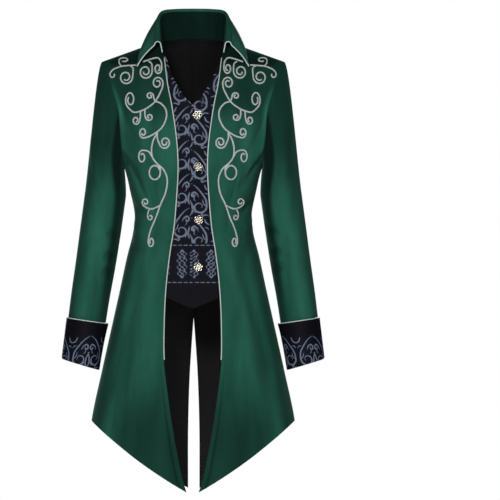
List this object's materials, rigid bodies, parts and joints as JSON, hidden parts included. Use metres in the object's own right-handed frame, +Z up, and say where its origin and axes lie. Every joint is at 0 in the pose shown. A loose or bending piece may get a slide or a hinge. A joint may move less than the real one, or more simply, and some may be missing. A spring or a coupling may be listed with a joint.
{
  "type": "steampunk tailcoat jacket, held out as worn",
  "caption": "Long open velvet tailcoat with false waistcoat, turned collar and cuffs, piping and back vent, standing hollow as if worn.",
  "frame": {"origin": "base of the wearer's neck, on the coat's middle plane and under the shoulder seams", "axes": "+Z up, -Y the coat's front, +X the wearer's left"},
  "size_m": [0.59, 0.3246, 1.0856],
  "materials": {
    "velvet": "soft pile with sheen",
    "brocade": "woven figure, half gloss",
    "lining": "smooth satin",
    "braid": "twisted silver thread",
    "button_metal": "openwork, worn polish"
  },
  "bodies": {
    "root": {"front_left": "velvet", "front_right": "velvet", "back_left": "velvet", "back_right": "velvet", "sleeve_top_left": "velvet", "sleeve_under_left": "velvet", "sleeve_top_right": "velvet", "sleeve_under_right": "velvet", "collar": "velvet", "cuff_left": "brocade", "cuff_right": "brocade", "vest_left": "brocade", "vest_right": "brocade", "lining_back_left": "lining", "lining_back_right": "lining", "piping_collar": "braid", "piping_front_left": "braid", "piping_front_right": "braid", "piping_cuff_left": "braid", "piping_cuff_right": "braid", "button_1": "button_metal", "button_2": "button_metal", "button_3": "button_metal", "button_4": "button_metal"}
  },
  "joints": []
}
